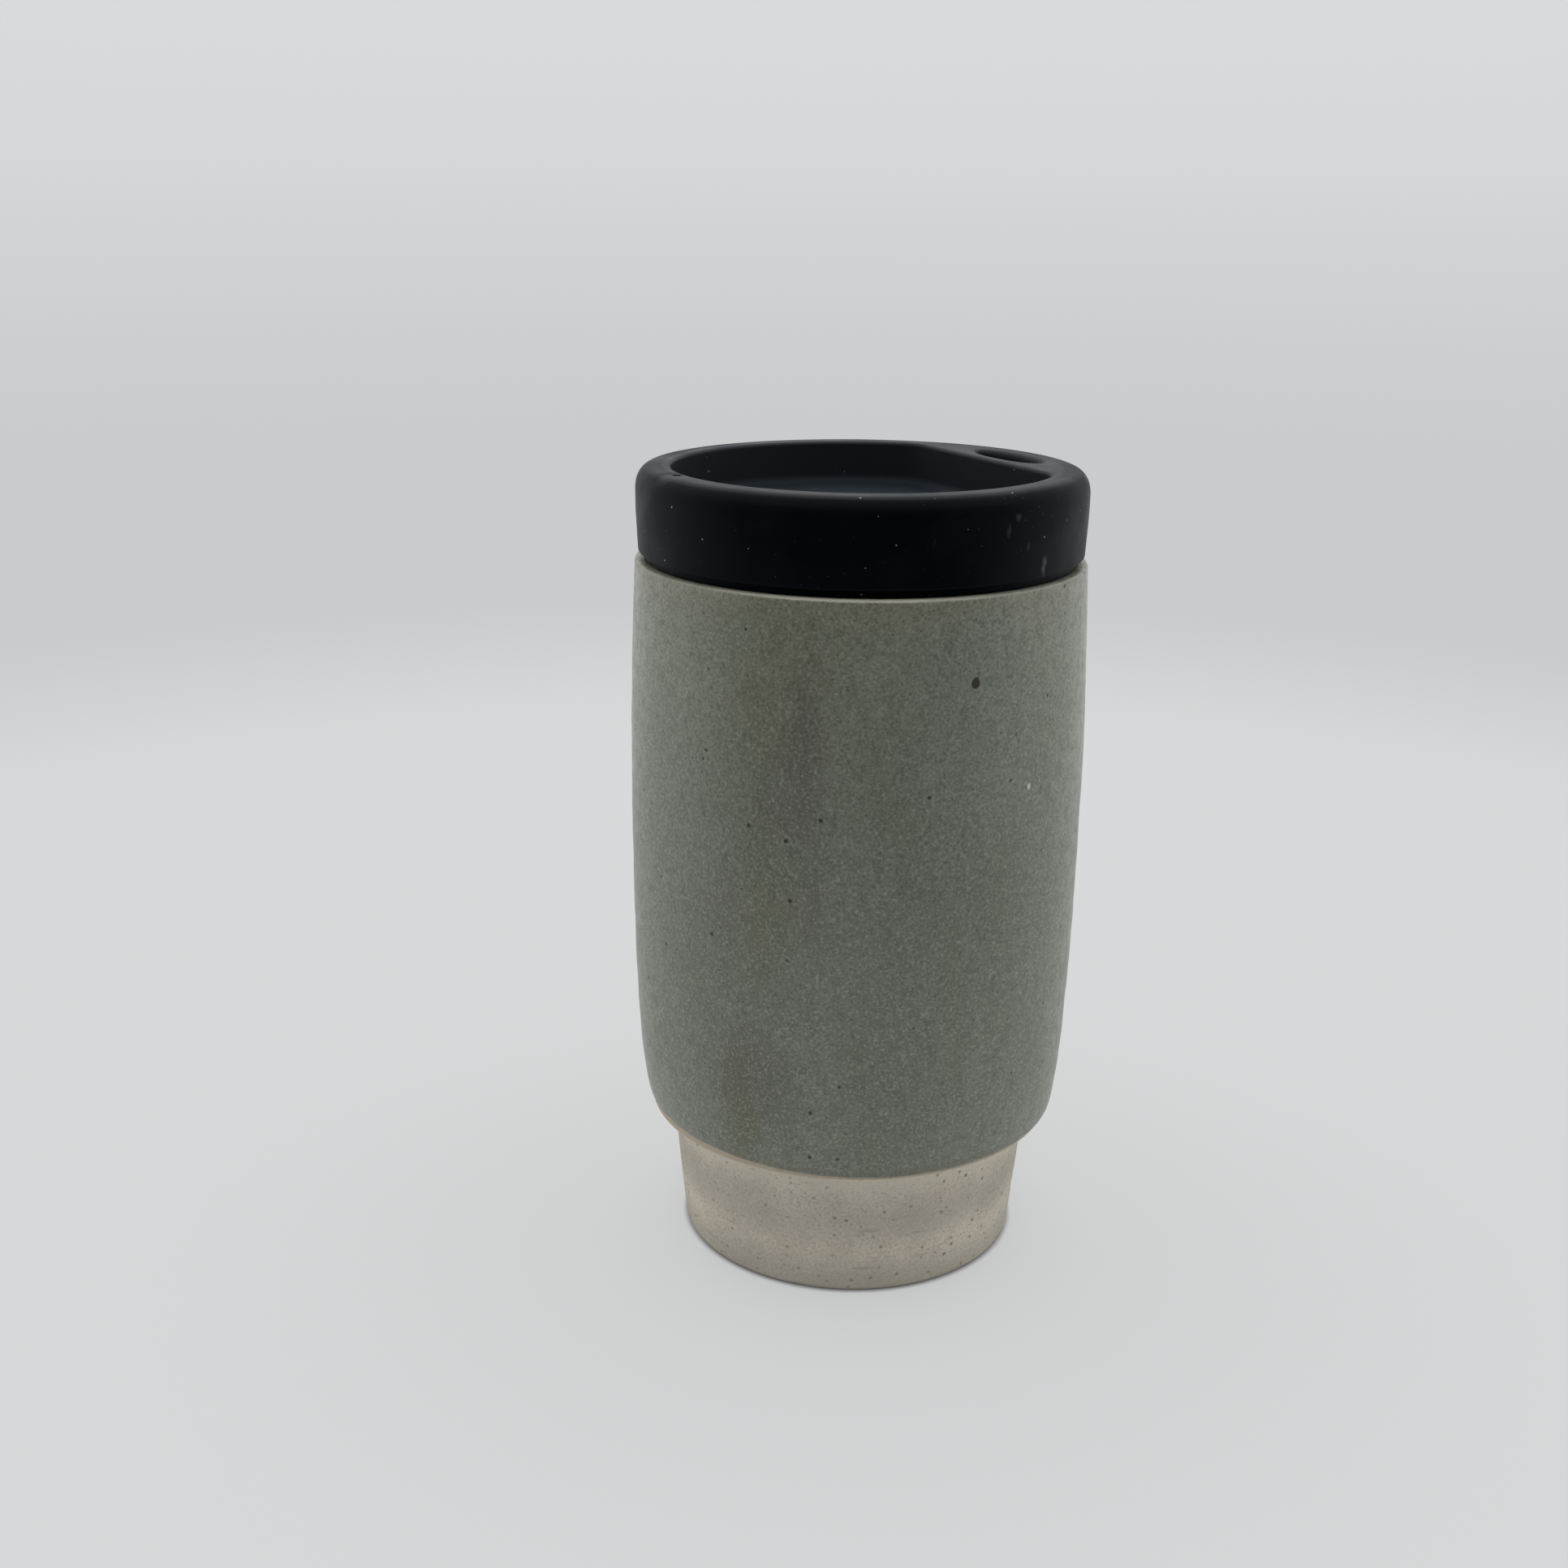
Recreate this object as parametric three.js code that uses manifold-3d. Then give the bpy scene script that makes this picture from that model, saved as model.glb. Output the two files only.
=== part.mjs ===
// A hand-thrown stoneware travel tumbler with a push-in silicone lid, in millimetres, +Z up.
// The origin is the centre of the foot's base. The lid's sip hole is on the +X side.

import * as THREE from 'three';
import { mergeVertices } from 'three/addons/utils/BufferGeometryUtils.js';
import Module from 'manifold-3d';

const wasm = await Module();
wasm.setup();

// Driving dimensions: the cup, outside.
const CUP_HEIGHT = 146.6;
const FOOT_HEIGHT = 29.5;
const FOOT_BASE_RADIUS = 35.6;
const FOOT_TOP_RADIUS = 38.6;
const BARREL_EDGE_RADIUS = 42.95; // the barrel's lower corner, where it steps in to the foot
const GLAZE_LINE = 30.6; // the coat stops just above that corner
const GLAZE_EDGE_RADIUS = 43.5;
const TURN_RADIUS = 45.45; // the barrel's turned-in lower edge ends here and the wall begins
const TURN_HEIGHT = 46;
const TURN_CONTROL_INSET = 0.85;
const TURN_CONTROL_RISE = 3.4;
const BELLY_CONTROL_RADIUS = 47.65; // pulls the wall out to about 46.5 at its middle
const BELLY_HEIGHT = 96;
const RIM_OUTER_RADIUS = 45.3;
const RIM_ROUNDING = 0.8;
const GLAZE = 0.4; // thickness of both glaze coats
const RIM_JOIN_RADIUS = 43; // the outer coat and the liner meet here, on top of the rim

// Driving dimensions: the cup, inside and underneath.
const MOUTH_RADIUS = 41;
const MOUTH_DEPTH = 13.5; // the straight seat that the lid's ribs press on
const INNER_BELLY_CONTROL_RADIUS = 42.9;
const INNER_TURN_RADIUS = 41.2;
const INNER_TURN_HEIGHT = 50;
const INNER_TURN_DROP = 14; // how far the wall keeps its direction before it narrows
const WELL_RADIUS = 34.4; // the inside narrows to this where it drops into the foot
const WELL_HEIGHT = 25;
const WELL_RISE = 12;
const WELL_LOW_RADIUS = 33.6;
const WELL_LOW_HEIGHT = 19;
const FLOOR_HEIGHT = 11;
const FLOOR_RADIUS = 25;
const RING_INNER_RADIUS = 30.8; // the foot ring's flat runs from here out to its rounded edge
const RING_EDGE = 0.8;
const RING_RECESS = 4.2;
const RECESS_FILLET = 1.4;

// Driving dimensions: the lid.
const LID_RADIUS = 45;
const LID_TOP = 164.8;
const SKIRT_GAP = 1.6; // the skirt hangs this far above the cup's rim
const SPACER_RADIUS = 43.4; // the step under the skirt that rests on the rim
const PLUG_RADIUS = 40.4;
const RIB_RADIUS = 40.9;
const RIB_HEIGHTS = [3, 7]; // of the two ribs' crests, above the plug's lower edge
const RIB_HALF_WIDTH = 0.9;
const RIB_CREST = 0.2;
const PLUG_DEPTH = 11;
const PLUG_INNER_RADIUS = 37.8;
const DISH_RADIUS = 38;
const DISH_DEPTH = 9;
const LID_WALL = 2.5;
const SKIRT_TAPER = 0.4;
const SKIRT_TAPER_HEIGHT = 9;
const SKIRT_EDGE = 0.3;
const CREST_RADIUS = 41.6; // the rim's top is flat from the dish's lip out to here
const CREST_CONTROL_RADIUS = 43.8;
const SHOULDER_DROP = 4.6; // the skirt starts to round over this far below the top
const DISH_FILLET = 2;
const DISH_LIP = 1.6; // the dish flares out by this much over its last part
const DISH_LIP_STEP = 0.6;
const LEDGE_OFFSET = 28; // the sip ledge's inner wall stands this far from the axis
const LEDGE_FILLET = 8;
const LEDGE_THICKNESS = 2.8;
const SIP_OFFSET = 34.5;
const SIP_HALF_LENGTH = 11;
const SIP_HALF_WIDTH = 3.5;
const SIP_FLARE = 1.2;
const VENT_OFFSET = 40;
const VENT_RADIUS = 1;
const VENT_LENGTH = 18;
const POCKET_HALF_WIDTH = 1.5;
const POCKET_DEPTH = 3;

const SEGMENTS = 48;
const CURVE_STEPS = 4;
const CLEAR = 5; // how far a cutter runs past the surface that it cuts

function material(color, roughness) {
  return new THREE.MeshStandardMaterial({ color, roughness, metalness: 0 });
}

function lathe(profile) {
  const geometry = new THREE.LatheGeometry(profile, SEGMENTS);
  return geometry.rotateX(Math.PI / 2);
}

function named(name, geometry, look) {
  const mesh = new THREE.Mesh(geometry, look);
  mesh.name = name;
  return mesh;
}

// The outer surface from the glaze line up to the middle of the rim, moved in by inset.
function outerSkin(inset) {
  const top = CUP_HEIGHT - inset;
  const turn = TURN_RADIUS - inset;
  const rim = RIM_OUTER_RADIUS - inset;
  const belly = BELLY_CONTROL_RADIUS - inset;
  const skin = new THREE.Path();
  skin.moveTo(GLAZE_EDGE_RADIUS - inset, GLAZE_LINE);
  skin.quadraticCurveTo(turn - TURN_CONTROL_INSET, GLAZE_LINE + TURN_CONTROL_RISE, turn, TURN_HEIGHT);
  skin.quadraticCurveTo(belly, BELLY_HEIGHT, rim, CUP_HEIGHT - RIM_ROUNDING);
  skin.quadraticCurveTo(rim, top, rim - RIM_ROUNDING, top);
  skin.lineTo(RIM_JOIN_RADIUS, top);
  return skin.getPoints(CURVE_STEPS);
}

// The inner surface from the middle of the rim down to the axis, moved into the wall by inset.
function innerSkin(inset) {
  const top = CUP_HEIGHT - inset;
  const mouth = MOUTH_RADIUS + inset;
  const belly = INNER_BELLY_CONTROL_RADIUS + inset;
  const turn = INNER_TURN_RADIUS + inset;
  const well = WELL_RADIUS + inset;
  const wellLow = WELL_LOW_RADIUS + inset;
  const floor = FLOOR_HEIGHT - inset;
  const skin = new THREE.Path();
  skin.moveTo(RIM_JOIN_RADIUS, top);
  skin.lineTo(mouth + RIM_ROUNDING, top);
  skin.quadraticCurveTo(mouth, top, mouth, CUP_HEIGHT - RIM_ROUNDING);
  skin.lineTo(mouth, CUP_HEIGHT - MOUTH_DEPTH);
  skin.quadraticCurveTo(belly, BELLY_HEIGHT, turn, INNER_TURN_HEIGHT);
  skin.bezierCurveTo(
    turn, INNER_TURN_HEIGHT - INNER_TURN_DROP, well, WELL_HEIGHT + WELL_RISE, well, WELL_HEIGHT);
  skin.lineTo(wellLow, WELL_LOW_HEIGHT);
  skin.quadraticCurveTo(wellLow - 1, floor, FLOOR_RADIUS, floor);
  skin.lineTo(0, floor);
  return skin.getPoints(CURVE_STEPS);
}

// The fired clay: foot ring, foot, step, barrel wall and rim, thrown and turned in one piece.
function makeStonewareBody() {
  const recess = RING_INNER_RADIUS - 1; // the recess's wall leans in by this to meet the ring
  const base = new THREE.Path();
  base.moveTo(0, RING_RECESS);
  base.lineTo(recess - RECESS_FILLET, RING_RECESS);
  base.quadraticCurveTo(recess, RING_RECESS, recess, RING_RECESS - RECESS_FILLET);
  base.lineTo(recess + 0.4, RING_EDGE / 2);
  base.lineTo(RING_INNER_RADIUS, 0);
  base.lineTo(FOOT_BASE_RADIUS - RING_EDGE, 0);
  base.lineTo(FOOT_BASE_RADIUS, RING_EDGE);
  base.lineTo(FOOT_TOP_RADIUS, FOOT_HEIGHT);
  base.lineTo(BARREL_EDGE_RADIUS, FOOT_HEIGHT);
  const outline = [...base.getPoints(2), ...outerSkin(GLAZE), ...innerSkin(GLAZE).slice(1)];
  return named('stoneware_body', lathe(outline), material(0x9b9588, 0.85));
}

// The coat poured over the outside, which wraps the rim's outer edge.
function makeOuterGlaze() {
  const outline = [...outerSkin(0), ...outerSkin(GLAZE).reverse(), outerSkin(0)[0]];
  return named('outer_glaze', lathe(outline), material(0x5f6055, 0.45));
}

// The food-safe coat that lines the inside and wraps the rim's inner edge.
function makeLinerGlaze() {
  const outline = [...innerSkin(GLAZE).reverse(), ...innerSkin(0)];
  return named('liner_glaze', lathe(outline), material(0x6b6c60, 0.4));
}

function toSolid(geometry) {
  const bare = geometry.index ? geometry.clone() : geometry;
  bare.deleteAttribute('normal');
  bare.deleteAttribute('uv');
  const merged = mergeVertices(bare);
  const corners = merged.index.array;
  const faces = [];
  for (let i = 0; i < corners.length; i += 3) {
    const [a, b, c] = corners.slice(i, i + 3);
    if (a !== b && b !== c && c !== a) faces.push(a, b, c);
  }
  return new wasm.Manifold(new wasm.Mesh({
    numProp: 3,
    vertProperties: new Float32Array(merged.attributes.position.array),
    triVerts: new Uint32Array(faces),
  }));
}

function toGeometry(solid) {
  const mesh = solid.getMesh();
  const geometry = new THREE.BufferGeometry();
  geometry.setAttribute('position', new THREE.BufferAttribute(mesh.vertProperties, 3));
  geometry.setIndex(new THREE.BufferAttribute(mesh.triVerts, 1));
  return geometry;
}

// A plan outline extruded up from bottom to top, with an optional rounded or flared edge.
function prism(outline, bottom, top, edge = {}) {
  const rim = edge.thickness ?? 0;
  const geometry = new THREE.ExtrudeGeometry(outline, {
    depth: top - bottom - 2 * rim,
    curveSegments: edge.curveSegments ?? 8,
    bevelEnabled: rim > 0,
    bevelThickness: rim,
    bevelSize: edge.size ?? 0,
    bevelOffset: edge.offset ?? 0,
    bevelSegments: edge.segments ?? 1,
  });
  return geometry.translate(0, 0, bottom + rim);
}

// The turned shape of the lid: plug with two sealing ribs, spacer step, skirt and rounded rim.
function lidBlank() {
  const rimTop = CUP_HEIGHT;
  const skirtBottom = rimTop + SKIRT_GAP;
  const plugBottom = rimTop - PLUG_DEPTH;
  const underside = LID_TOP - DISH_DEPTH - LID_WALL;
  const outline = new THREE.Path();
  outline.moveTo(0, underside);
  outline.lineTo(PLUG_INNER_RADIUS - DISH_FILLET, underside);
  outline.quadraticCurveTo(
    PLUG_INNER_RADIUS, underside, PLUG_INNER_RADIUS, underside - DISH_FILLET);
  outline.lineTo(PLUG_INNER_RADIUS, plugBottom + 0.5);
  outline.lineTo(PLUG_INNER_RADIUS + 0.5, plugBottom);
  outline.lineTo(PLUG_RADIUS - 0.8, plugBottom);
  outline.lineTo(PLUG_RADIUS, plugBottom + 1);
  for (const height of RIB_HEIGHTS) {
    const rib = plugBottom + height;
    outline.lineTo(PLUG_RADIUS, rib - RIB_HALF_WIDTH);
    outline.lineTo(RIB_RADIUS, rib - RIB_CREST);
    outline.lineTo(RIB_RADIUS, rib + RIB_CREST);
    outline.lineTo(PLUG_RADIUS, rib + RIB_HALF_WIDTH);
  }
  outline.lineTo(PLUG_RADIUS, rimTop);
  outline.lineTo(SPACER_RADIUS, rimTop);
  outline.lineTo(SPACER_RADIUS, skirtBottom);
  outline.lineTo(LID_RADIUS - SKIRT_TAPER - SKIRT_EDGE, skirtBottom);
  outline.lineTo(LID_RADIUS - SKIRT_TAPER, skirtBottom + SKIRT_EDGE);
  outline.lineTo(LID_RADIUS, skirtBottom + SKIRT_TAPER_HEIGHT);
  outline.lineTo(LID_RADIUS, LID_TOP - SHOULDER_DROP);
  outline.bezierCurveTo(
    LID_RADIUS, LID_TOP - 1.8, CREST_CONTROL_RADIUS, LID_TOP, CREST_RADIUS, LID_TOP);
  outline.lineTo(0, LID_TOP);
  return toSolid(lathe(outline.getPoints(CURVE_STEPS)));
}

// The dish in plan: a circle cut off by the sip ledge's straight wall, with rounded corners.
function dishOutline() {
  const filletX = LEDGE_OFFSET - LEDGE_FILLET;
  const filletY = Math.sqrt((DISH_RADIUS - LEDGE_FILLET) ** 2 - filletX ** 2);
  const tangent = Math.atan2(filletY, filletX);
  const outline = new THREE.Shape();
  outline.moveTo(LEDGE_OFFSET, -filletY);
  outline.absarc(filletX, filletY, LEDGE_FILLET, 0, tangent, false);
  outline.absarc(0, 0, DISH_RADIUS, tangent, 2 * Math.PI - tangent, false);
  outline.absarc(filletX, -filletY, LEDGE_FILLET, -tangent, 0, false);
  return outline;
}

// The space under the ledge in plan: what a chord cuts off the plug's inner circle.
function hollowOutline() {
  const chord = LEDGE_OFFSET + LID_WALL;
  const angle = Math.acos(chord / PLUG_INNER_RADIUS);
  const outline = new THREE.Shape();
  outline.absarc(0, 0, PLUG_INNER_RADIUS, -angle, angle, false);
  return outline;
}

function sipOutline() {
  const outline = new THREE.Shape();
  outline.absellipse(SIP_OFFSET, 0, SIP_HALF_WIDTH, SIP_HALF_LENGTH, 0, 2 * Math.PI, false, 0);
  return outline;
}

function rectangle(x0, x1, halfWidth) {
  const outline = new THREE.Shape();
  outline.moveTo(x0, -halfWidth);
  outline.lineTo(x1, -halfWidth);
  outline.lineTo(x1, halfWidth);
  outline.lineTo(x0, halfWidth);
  return outline;
}

// The lid, moulded in one piece of silicone: the blank with the dish sunk in its top, which leaves
// the ledge with the sip hole on +X, hollow underneath, and on -X a small vent that drops into a
// pocket open to the cup.
function makeLid() {
  const open = LID_TOP + CLEAR;
  const dishFloor = LID_TOP - DISH_DEPTH;
  const underside = dishFloor - LID_WALL;
  const dishFloorEdge = {
    thickness: DISH_FILLET,
    size: DISH_FILLET,
    offset: -DISH_FILLET,
    segments: 2,
    curveSegments: 24,
  };
  const lipBelow = { thickness: DISH_LIP, size: DISH_LIP_STEP, curveSegments: 24 };
  const lipAbove = { thickness: DISH_LIP_STEP, size: DISH_LIP, curveSegments: 24 };
  const sipLip = { thickness: SIP_FLARE, size: SIP_FLARE, curveSegments: 20 };
  const pocket = rectangle(
    -VENT_OFFSET - POCKET_HALF_WIDTH, -PLUG_INNER_RADIUS + 4, POCKET_HALF_WIDTH);
  const vent = new THREE.CylinderGeometry(VENT_RADIUS, VENT_RADIUS, VENT_LENGTH, 12);
  vent.rotateX(Math.PI / 2).translate(-VENT_OFFSET, 0, open - VENT_LENGTH / 2);
  const cuts = [
    prism(dishOutline(), dishFloor, open, dishFloorEdge),
    prism(dishOutline(), LID_TOP - DISH_LIP, open, lipBelow),
    prism(dishOutline(), LID_TOP - DISH_LIP_STEP, open, lipAbove),
    prism(hollowOutline(), underside - 1, LID_TOP - LEDGE_THICKNESS, { curveSegments: 12 }),
    prism(sipOutline(), underside, open, { curveSegments: 20 }),
    prism(sipOutline(), LID_TOP - SIP_FLARE, open, sipLip),
    vent,
    prism(pocket, underside - 1 - POCKET_DEPTH, underside - 1),
  ];
  const solid = cuts.reduce((left, cut) => left.subtract(toSolid(cut)), lidBlank());
  return named('lid', toGeometry(solid), material(0x1c1f22, 0.7));
}

const tumbler = new THREE.Group();
tumbler.add(makeStonewareBody());
tumbler.add(makeOuterGlaze());
tumbler.add(makeLinerGlaze());
tumbler.add(makeLid());

export default tumbler;
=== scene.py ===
import math

import bmesh
import bpy
from mathutils import Matrix, Vector, noise


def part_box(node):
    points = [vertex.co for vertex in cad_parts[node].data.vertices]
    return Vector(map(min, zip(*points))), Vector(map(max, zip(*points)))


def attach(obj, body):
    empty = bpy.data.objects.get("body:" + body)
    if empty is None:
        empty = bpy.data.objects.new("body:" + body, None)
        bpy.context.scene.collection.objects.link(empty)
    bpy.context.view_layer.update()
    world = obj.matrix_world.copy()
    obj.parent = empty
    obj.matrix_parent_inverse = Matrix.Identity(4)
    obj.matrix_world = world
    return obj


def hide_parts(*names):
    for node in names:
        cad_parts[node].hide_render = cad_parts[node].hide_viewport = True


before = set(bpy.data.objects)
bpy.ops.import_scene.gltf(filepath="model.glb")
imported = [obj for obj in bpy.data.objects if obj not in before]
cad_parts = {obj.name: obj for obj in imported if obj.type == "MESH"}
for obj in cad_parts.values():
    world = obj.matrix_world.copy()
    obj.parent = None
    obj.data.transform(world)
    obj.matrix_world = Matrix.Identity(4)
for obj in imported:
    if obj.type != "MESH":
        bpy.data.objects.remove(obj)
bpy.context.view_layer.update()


# ---------------------------------------------------------------------------------------------
# The cup's clay. One lump of buff stoneware, thrown on the wheel, turned to leave a tall foot that
# steps in under the barrel, and fired. It stays bare on the foot, on the step and underneath.
# ---------------------------------------------------------------------------------------------

clay_low, clay_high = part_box("stoneware_body")
coat_low, coat_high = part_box("outer_glaze")

RIM_TOP = coat_high.z
GLAZE_LINE = coat_low.z
FOOT_HEIGHT = GLAZE_LINE - 0.0011
FOOT_BASE_RADIUS = 0.0356
FOOT_TOP_RADIUS = 0.0386
FOOT_EDGE = 0.0013          # rounding of the foot where it meets the table
STEP_RADIUS = 0.04295       # the barrel's lower corner
GLAZE = 0.0004              # thickness of both coats of glaze
GLAZE_EDGE_RADIUS = 0.0435
TURN_RADIUS = 0.04545
TURN_HEIGHT = 0.046
BELLY_RADIUS = 2 * coat_high.x - 0.045375  # control radius that bows the wall out to the box
BELLY_HEIGHT = 0.096
RIM_RADIUS = 0.0453
RIM_ROUNDING = 0.0008
RIM_JOIN_RADIUS = 0.043
MOUTH_RADIUS = 0.041
MOUTH_DEPTH = 0.0135
RING_RADIUS = 0.0308        # inner edge of the flat ring that the cup stands on
RING_RECESS = 0.0042
TURN_STEPS = 224


def run(start, end, steps):
    """Points along a straight stretch, without its first."""
    return [
        (start[0] + (end[0] - start[0]) * i / steps, start[1] + (end[1] - start[1]) * i / steps)
        for i in range(1, steps + 1)
    ]


def bend(start, control, end, steps):
    """Points along a curve that leaves start towards control and ends from it, without its first."""
    points = []
    for i in range(1, steps + 1):
        t = i / steps
        a, b, c = (1 - t) ** 2, 2 * t * (1 - t), t * t
        points.append(tuple(a * s + b * m + c * e for s, m, e in zip(start, control, end)))
    return points


def outer_skin(inset):
    """The cup's outline from the glaze line up over the rim's outer edge, moved in by inset."""
    top = RIM_TOP - inset
    foot = (GLAZE_EDGE_RADIUS - inset, GLAZE_LINE)
    turn = (TURN_RADIUS - inset, TURN_HEIGHT)
    rim = (RIM_RADIUS - inset, RIM_TOP - RIM_ROUNDING)
    lip = (RIM_RADIUS - inset - RIM_ROUNDING, top)
    skin = [foot]
    skin += bend(foot, (turn[0] - 0.00085, GLAZE_LINE + 0.0034), turn, 18)
    skin += bend(turn, (BELLY_RADIUS - inset, BELLY_HEIGHT), rim, 64)
    skin += bend(rim, (rim[0], top), lip, 8)
    skin += run(lip, (RIM_JOIN_RADIUS, top), 2)
    return skin


def inner_skin(inset):
    """The cup's inside from the top of the rim down to the middle of its floor, set in by inset."""
    top = RIM_TOP - inset
    lip = (MOUTH_RADIUS + inset + RIM_ROUNDING, top)
    mouth = (MOUTH_RADIUS + inset, RIM_TOP - RIM_ROUNDING)
    seat = (MOUTH_RADIUS + inset, RIM_TOP - MOUTH_DEPTH)
    turn = (0.0412 + inset, 0.050)
    shoulder = (0.0377 + inset, 0.0365)
    well = (0.0344 + inset, 0.025)
    well_low = (0.0336 + inset, 0.019)
    floor = (0.025, 0.011 - inset)
    skin = [(RIM_JOIN_RADIUS, top), lip]
    skin += bend(lip, (mouth[0], top), mouth, 6)
    skin += run(mouth, seat, 4)
    skin += bend(seat, (0.0429 + inset, BELLY_HEIGHT), turn, 24)
    skin += bend(turn, (turn[0] - 0.0002, 0.0398), shoulder, 8)
    skin += bend(shoulder, (well[0] + 0.0001, 0.0325), well, 8)
    skin += run(well, well_low, 3)
    skin += bend(well_low, (well_low[0] - 0.001, floor[1]), floor, 8)
    skin += run(floor, (0, floor[1]), 6)
    return skin


def turned(outline):
    """The outline, as radius and height, swept once round the axis."""
    bm = bmesh.new()
    points = [bm.verts.new((radius, 0, height)) for radius, height in outline]
    edges = [bm.edges.new(pair) for pair in zip(points, points[1:])]
    bmesh.ops.spin(
        bm, geom=points + edges, cent=(0, 0, 0), axis=(0, 0, 1), dvec=(0, 0, 0),
        angle=2 * math.pi, steps=TURN_STEPS, use_merge=True, use_duplicate=False,
    )
    bmesh.ops.remove_doubles(bm, verts=bm.verts, dist=1e-7)
    bmesh.ops.recalc_face_normals(bm, faces=bm.faces)
    return bm


def soft_step(x, low, high):
    t = min(1, max(0, (x - low) / (high - low)))
    return t * t * (3 - 2 * t)


def by_hand(bm):
    """The slight swell and drift of a wall pulled up by hand. The base and the mouth stay true."""
    swell = 0.00016
    for vert in bm.verts:
        x, y, z = vert.co
        free = soft_step(z, 0.002, 0.010) * (1 - soft_step(z, 0.118, 0.132))
        around = Vector((x, y, 0)).normalized()
        broad = noise.noise(Vector((around.x, around.y, z * 42)))
        ring = noise.noise(Vector((around.x * 0.4, around.y * 0.4, z * 210 + 7)))
        vert.co += around * free * swell * (broad + 0.6 * ring)


def make_piece(name, bm, material, sharp_angle=35):
    """A smooth-shaded object at the origin, with edges kept crisp where the faces turn sharply."""
    mesh = bpy.data.meshes.new(name)
    bm.to_mesh(mesh)
    bm.free()
    mesh.polygons.foreach_set("use_smooth", [True] * len(mesh.polygons))
    mesh.set_sharp_from_angle(angle=math.radians(sharp_angle))
    mesh.materials.append(material)
    made = bpy.data.objects.new(name, mesh)
    bpy.context.scene.collection.objects.link(made)
    return made


def clay_outline():
    recess = RING_RADIUS - 0.001
    base = (FOOT_BASE_RADIUS - FOOT_EDGE, 0)
    foot_low = (FOOT_BASE_RADIUS + 0.00012, FOOT_EDGE)
    foot_top = (FOOT_TOP_RADIUS, FOOT_HEIGHT - 0.0003)
    step_in = (FOOT_TOP_RADIUS + 0.0004, FOOT_HEIGHT)
    step_out = (STEP_RADIUS - 0.0003, FOOT_HEIGHT)
    corner = (STEP_RADIUS + 0.00005, FOOT_HEIGHT + 0.0003)
    outline = [(0, RING_RECESS)]
    outline += run(outline[-1], (recess - 0.0014, RING_RECESS), 8)
    outline += bend(outline[-1], (recess, RING_RECESS), (recess, RING_RECESS - 0.0014), 6)
    outline += run(outline[-1], (recess + 0.0004, 0.0005), 2)
    outline += bend(outline[-1], (recess + 0.0005, 0), (RING_RADIUS, 0), 4)
    outline += run(outline[-1], base, 3)
    outline += bend(base, (FOOT_BASE_RADIUS, 0), foot_low, 7)
    outline += run(foot_low, foot_top, 24)
    outline += bend(foot_top, (FOOT_TOP_RADIUS + 0.00003, FOOT_HEIGHT), step_in, 4)
    outline += run(step_in, step_out, 5)
    outline += bend(step_out, (STEP_RADIUS, FOOT_HEIGHT), corner, 4)
    outline += outer_skin(GLAZE)
    outline += inner_skin(GLAZE)[1:]
    return outline


def add_node(tree, kind, settings=None, **inputs):
    """Adds a shader node, sets its options, and sets or links its inputs by name."""
    made = tree.nodes.new("ShaderNode" + kind)
    for option, value in (settings or {}).items():
        setattr(made, option, value)
    for name, value in inputs.items():
        socket = made.inputs[name.replace("_", " ")]
        if isinstance(value, bpy.types.NodeSocket):
            tree.links.new(value, socket)
        else:
            socket.default_value = value
    return made


def sum_of(tree, operation, *values):
    """One Math node."""
    made = tree.nodes.new("ShaderNodeMath")
    made.operation = operation
    for socket, value in zip(made.inputs, values):
        if isinstance(value, bpy.types.NodeSocket):
            tree.links.new(value, socket)
        else:
            socket.default_value = value
    return made.outputs["Value"]


def fade(tree, value, low, high, to_low=0.0, to_high=1.0):
    """Eases from to_low to to_high as value goes from low to high."""
    made = add_node(
        tree, "MapRange", {"interpolation_type": "SMOOTHSTEP"},
        Value=value, From_Min=low, From_Max=high, To_Min=to_low, To_Max=to_high,
    )
    return made.outputs["Result"]


def cloud(tree, place, size, detail=2.0, roughness=0.5):
    """Soft noise from 0 to 1, with patches about as big as size, in metres."""
    made = add_node(
        tree, "TexNoise", Vector=place, Scale=1 / size, Detail=detail, Roughness=roughness
    )
    return made.outputs["Fac"]


def tint(tree, factor, first, second, mode="MIX"):
    """Mixes two colours."""
    made = tree.nodes.new("ShaderNodeMix")
    made.data_type = "RGBA"
    made.blend_type = mode
    for index, value in ((0, factor), (6, first), (7, second)):
        socket = made.inputs[index]
        if isinstance(value, bpy.types.NodeSocket):
            tree.links.new(value, socket)
        elif index == 0:
            socket.default_value = value
        else:
            socket.default_value = (*value, 1.0)
    return made.outputs[2]


def squeezed(tree, place, across, along, shift=(0, 0, 0)):
    """Coordinates in which noise has patches across wide and along high, in units of its size."""
    made = add_node(
        tree, "Mapping", Vector=place, Location=shift, Scale=(1 / across, 1 / across, 1 / along)
    )
    return made.outputs["Vector"]


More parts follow.
